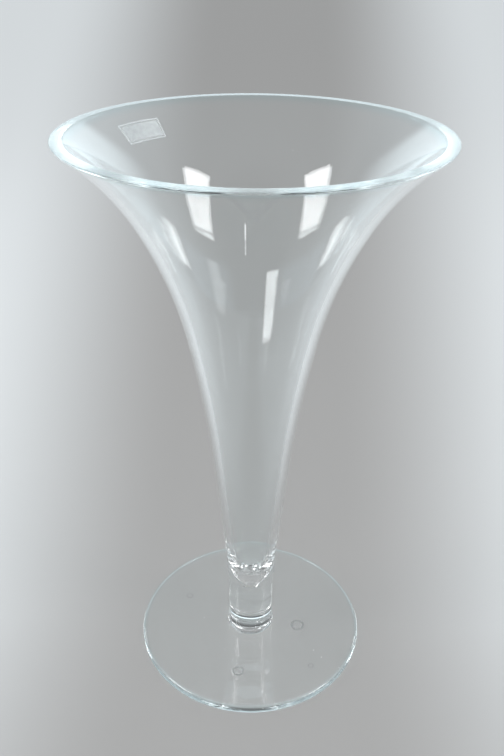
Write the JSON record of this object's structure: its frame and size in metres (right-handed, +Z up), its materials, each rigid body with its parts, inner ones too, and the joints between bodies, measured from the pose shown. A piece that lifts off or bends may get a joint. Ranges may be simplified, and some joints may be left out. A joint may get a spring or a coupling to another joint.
{
  "type": "trumpet vase",
  "caption": "Clear glass trumpet vase: a long flared bowl with a flat lip and a round-bottomed hollow, on a short solid stem and a flat round foot, for cut flowers.",
  "frame": {"origin": "centre of the foot's flat underside, on the table", "axes": "+Z up along the vase's axis of revolution; -Y towards the viewer of the picture; +X to the viewer's right"},
  "size_m": [0.1762, 0.176, 0.3],
  "materials": {
    "clear_glass": "polished",
    "label_film": "frosted clear film, blank"
  },
  "bodies": {
    "root": {"trumpet_bowl": "clear_glass", "stem": "clear_glass", "foot": "clear_glass", "blank_label": "label_film"}
  },
  "joints": []
}
